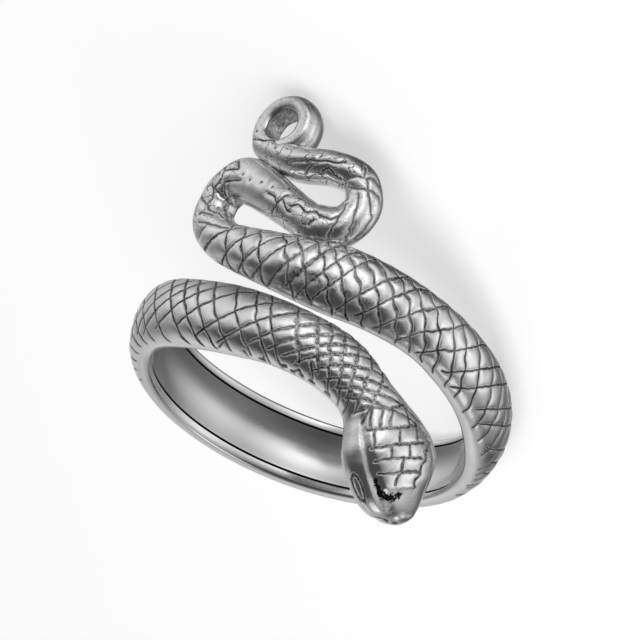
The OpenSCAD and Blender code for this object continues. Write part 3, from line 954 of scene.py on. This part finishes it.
LINE_H = 0.00002
BURR_H = 0.000011
CRACK_H = 0.000015
silver = bpy.data.materials.new("oxidised_silver")
silver.use_nodes = True
tree = silver.node_tree
shader = tree.nodes["Principled BSDF"]
start = Wire(tree)
shader.inputs["Metallic"].default_value = 1.0
where = start.node("ShaderNodeTexCoord", {}, {}, "Object")
read = {}
for label in looks:
    settings = {"attribute_name": label}
    read[label] = start.node("ShaderNodeAttribute", settings, {}, "Fac")
worn = read["worn"]
clouds = start.node("ShaderNodeTexNoise", {}, {"Vector": where, **CLOUDS})
grain = start.node("ShaderNodeTexNoise", {}, {"Vector": where, **GRAIN})
dots = grain.between(0.4, 0.56)

# Distance from the nearest line, and the oxide that it holds, torn at its edges
far = (1 - read["marks"]) * MARK_REACH
for family in ("rising", "falling"):
    distant = read[family].math("ABSOLUTE", read[family])
    far = far.math("MINIMUM", far, distant + (1 - read[family + "_shown"]) * UNSEEN_GAP)
breadth = read["wide"]
unpolished_and_painted_light = 1 - read["polish_and_painted_light"]
ragged = far + (grain - 0.5) * (0.03 + worn * 0.05)
half = GROOVE_HALF + breadth * 0.04
line = 1 - (ragged - half).between(-0.02, 0.02)
patches = start.node("ShaderNodeTexNoise", {}, {"Vector": where, **PATCHES})
speckle = breadth * worn
dotted = dots * (0.25 + speckle * 0.45)
oxide = line * (0.6 + patches.between(0.35, 0.6) * 0.2 + dotted - speckle * 0.6)
beyond = far - half
burr = beyond.between(0.0, 0.025) * (1 - beyond.between(0.025, 0.07))
torn = beyond.between(-0.005, 0.015) * (1 - beyond.between(0.035, 0.065))

# Fine cracks in the curl's oxide, along the borders of twisted cells
twists = start.node("ShaderNodeTexNoise", {}, {"Vector": where, **TWISTS}, "Color")
twisted = start.node(
    "ShaderNodeVectorMath",
    {"operation": "MULTIPLY_ADD"},
    {0: twists, 1: (TWIST_REACH,) * 3, 2: where},
    "Vector",
)
cells = start.node(
    "ShaderNodeTexVoronoi",
    {"feature": "DISTANCE_TO_EDGE"},
    {"Vector": twisted, "Scale": CELL_SCALE},
)
crack = (1 - cells.between(0.02, 0.06)) * read["cracked"] * grain.between(0.4, 0.52)

# Colour, roughness and the fine relief
black = (read["stain"] + (grain - 0.5) * 1.6).between(0.4, 0.6)
near = 1 - far.between(0.0, 0.25)
clouded = near * 0.1 + clouds.between(0.5, 0.75) * worn * 0.2
# Tarnished tone from the clouds and near lines, and from the duller patches, which also carry
# painted shade, painted dark reflections and a painted highlight
tarnish_and_painted_light = clouded + unpolished_and_painted_light * (0.9 + (dots - 0.5) * worn * 0.9)
colour = tarnish_and_painted_light.mixed(POLISHED, TARNISHED_AND_SHADED)
oxide = oxide.math("MAXIMUM", oxide, crack * 0.75)
colour = oxide.mixed(colour, OXIDE)
colour = black.mixed(colour, BLACK)
tree.links.new(colour.socket, shader.inputs["Base Color"])
rough = 0.15 + clouds * 0.08 + worn * 0.06 + line * 0.25 + black * 0.3
rough = rough + unpolished_and_painted_light * 0.2 + torn * dots * 0.4
tree.links.new(rough.socket, shader.inputs["Roughness"])
grain_h = GRAIN_H + worn * GRAIN_WORN_H + line * (GRAIN_LINE_H + breadth * GRAIN_BROAD_H)
grain_h = grain_h + unpolished_and_painted_light * (GRAIN_DULL_H + worn * GRAIN_TORN_H)
height = grain * grain_h + clouds * (CLOUD_H + worn * CLOUD_WORN_H)
height = height - line * LINE_H + burr * BURR_H - crack * CRACK_H
bump_settings = {"Height": height, "Strength": 0.7, "Distance": 1.0}
bump = start.node("ShaderNodeBump", {}, bump_settings, "Normal")
tree.links.new(bump.socket, shader.inputs["Normal"])
snake.data.materials.clear()
snake.data.materials.append(silver)
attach(snake, "root")
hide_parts("snake_ring")
